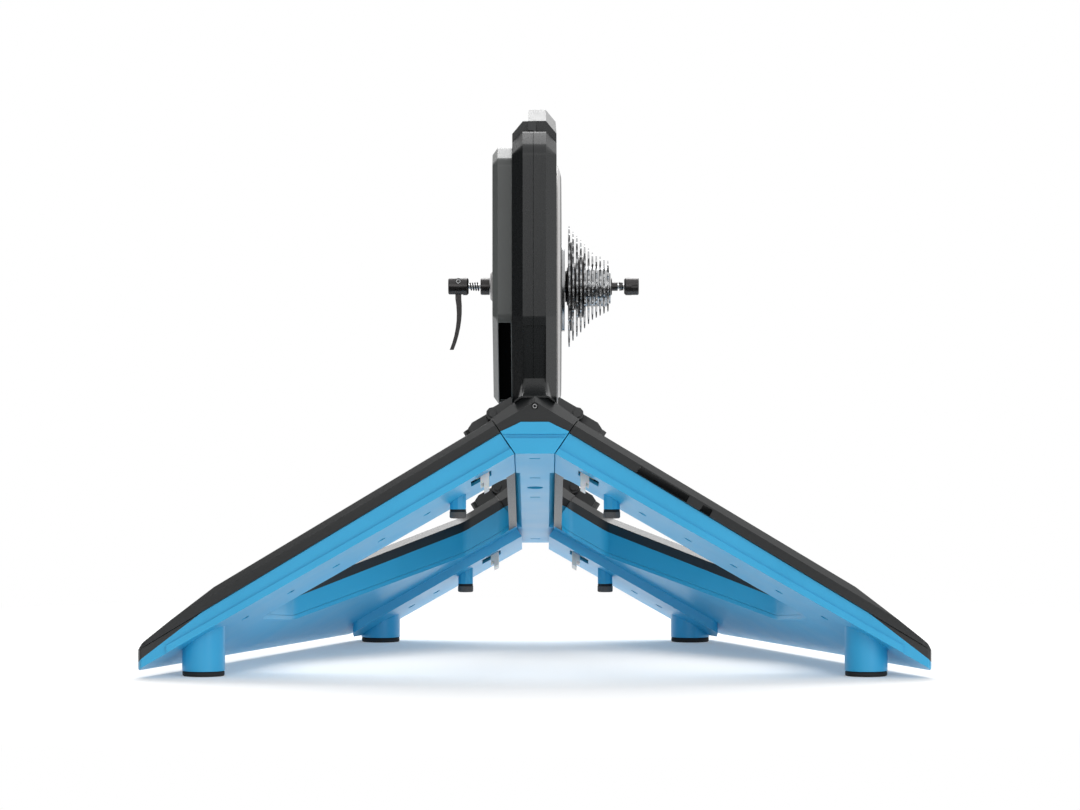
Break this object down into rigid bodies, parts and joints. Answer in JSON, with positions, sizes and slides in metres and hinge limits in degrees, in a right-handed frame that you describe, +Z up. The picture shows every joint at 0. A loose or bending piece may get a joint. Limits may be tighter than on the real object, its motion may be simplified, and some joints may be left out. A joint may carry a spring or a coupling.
{
  "type": "direct drive bike trainer",
  "caption": "Direct drive bike trainer: upright motor housing on a cast spine, folding wings with rubber feet, and a cassette and quick release that take the place of the rear wheel.",
  "frame": {"origin": "on the floor, in the middle of the base's overall width and length", "axes": "+Z up, +Y the riding direction, +X the drive side with the cassette"},
  "size_m": [0.742, 0.575, 0.5473],
  "materials": {
    "blue_paint": "smooth light blue powder coat on cast aluminium",
    "cover_plastic": "fine grained black moulding",
    "shell_plastic": "satin black moulding",
    "black_rubber": "dull",
    "pale_nylon": "pale, slightly translucent",
    "dark_steel": "black oxide",
    "bright_steel": "bright plated steel",
    "windings": "lacquered copper wire on a steel core",
    "board": "green solder mask"
  },
  "bodies": {
    "stand": {"centre_frame": "blue_paint", "hub_cover_rear": "cover_plastic", "hub_cover_front": "cover_plastic", "cover_screw": "bright_steel", "housing_left": "shell_plastic", "housing_right": "shell_plastic", "motor_cover_left": "cover_plastic", "motor_cover_right": "cover_plastic", "stator": "windings", "hollow_axle": "bright_steel", "bearing_left": "bright_steel", "bearing_right": "bright_steel", "axle_cap_left": "dark_steel", "axle_cap_right": "dark_steel", "circuit_board": "board", "skewer_head": "dark_steel", "skewer_spring_left": "dark_steel", "skewer_spring_right": "dark_steel", "hinge_pin_rear_left": "dark_steel", "hinge_pin_rear_right": "dark_steel", "hinge_pin_front_left": "dark_steel", "hinge_pin_front_right": "dark_steel"},
    "wing_left": {"wing_casting_left": "blue_paint", "wing_cover_left": "cover_plastic", "hinge_strap_rear_left": "cover_plastic", "hinge_strap_front_left": "cover_plastic", "foot_pad_rear_left": "black_rubber", "foot_pad_front_left": "black_rubber", "peg_tip_rear_left": "black_rubber", "peg_tip_front_left": "black_rubber"},
    "wing_right": {"wing_casting_right": "blue_paint", "wing_cover_right": "cover_plastic", "hinge_strap_rear_right": "cover_plastic", "hinge_strap_front_right": "cover_plastic", "foot_pad_rear_right": "black_rubber", "foot_pad_front_right": "black_rubber", "peg_tip_rear_right": "black_rubber", "peg_tip_front_right": "black_rubber"},
    "latch_rl": {"latch_rear_left": "pale_nylon"},
    "latch_fl": {"latch_front_left": "pale_nylon"},
    "latch_rr": {"latch_rear_right": "pale_nylon"},
    "latch_fr": {"latch_front_right": "pale_nylon"},
    "rotor": {"rotor": "dark_steel"},
    "cassette": {"freehub_body": "dark_steel", "cog_carrier": "dark_steel", "cog_28": "bright_steel", "cog_25": "bright_steel", "cog_23": "bright_steel", "cog_21": "bright_steel", "cog_19": "bright_steel", "cog_17": "bright_steel", "cog_15": "bright_steel", "cog_14": "bright_steel", "cog_13": "bright_steel", "cog_12": "bright_steel", "cog_11": "bright_steel", "cassette_lockring": "bright_steel"},
    "skewer": {"skewer_rod": "bright_steel"},
    "nut": {"skewer_nut": "dark_steel"},
    "lever": {"release_lever": "dark_steel"}
  },
  "joints": [
    {"name": "wing_left_fold", "type": "hinge", "parent": "stand", "child": "wing_left", "pos_m": [-0.04, -0.25, 0.25], "axis": [0, 0.983, -0.1838], "range_deg": [0, 118]},
    {"name": "wing_right_fold", "type": "hinge", "parent": "stand", "child": "wing_right", "pos_m": [0.04, -0.25, 0.25], "axis": [0, -0.983, 0.1838], "range_deg": [0, 118]},
    {"name": "latch_rear_left_slide", "type": "slide", "parent": "wing_left", "child": "latch_rl", "axis": [-0.8613, -0.0934, -0.4994], "range_m": [0, 0.0095], "stiffness_N_per_m": 200, "springref_m": -0.005},
    {"name": "latch_front_left_slide", "type": "slide", "parent": "wing_left", "child": "latch_fl", "axis": [-0.8613, -0.0934, -0.4994], "range_m": [0, 0.0095], "stiffness_N_per_m": 200, "springref_m": -0.005},
    {"name": "latch_rear_right_slide", "type": "slide", "parent": "wing_right", "child": "latch_rr", "axis": [0.8613, -0.0934, -0.4994], "range_m": [0, 0.0095], "stiffness_N_per_m": 200, "springref_m": -0.005},
    {"name": "latch_front_right_slide", "type": "slide", "parent": "wing_right", "child": "latch_fr", "axis": [0.8613, -0.0934, -0.4994], "range_m": [0, 0.0095], "stiffness_N_per_m": 200, "springref_m": -0.005},
    {"name": "rotor_spin", "type": "hinge", "parent": "stand", "child": "rotor", "pos_m": [0, -0.085, 0.369], "axis": [1, 0, 0], "continuous": true},
    {"name": "freewheel_spin", "type": "hinge", "parent": "rotor", "child": "cassette", "pos_m": [0, -0.085, 0.369], "axis": [1, 0, 0], "continuous": true},
    {"name": "lever_swing", "type": "hinge", "parent": "stand", "child": "lever", "pos_m": [-0.075, -0.085, 0.374], "axis": [0, 1, 0], "range_deg": [0, 165]},
    {"name": "skewer_draw", "type": "slide", "parent": "stand", "child": "skewer", "axis": [1, 0, 0], "range_m": [0, 0.0015]},
    {"name": "nut_turn", "type": "hinge", "parent": "skewer", "child": "nut", "pos_m": [0, -0.085, 0.369], "axis": [1, 0, 0], "continuous": true}
  ],
  "couplings": [
    {"joint": "skewer_draw", "follows": "lever_swing", "m_per_rad": 0.00052}
  ]
}
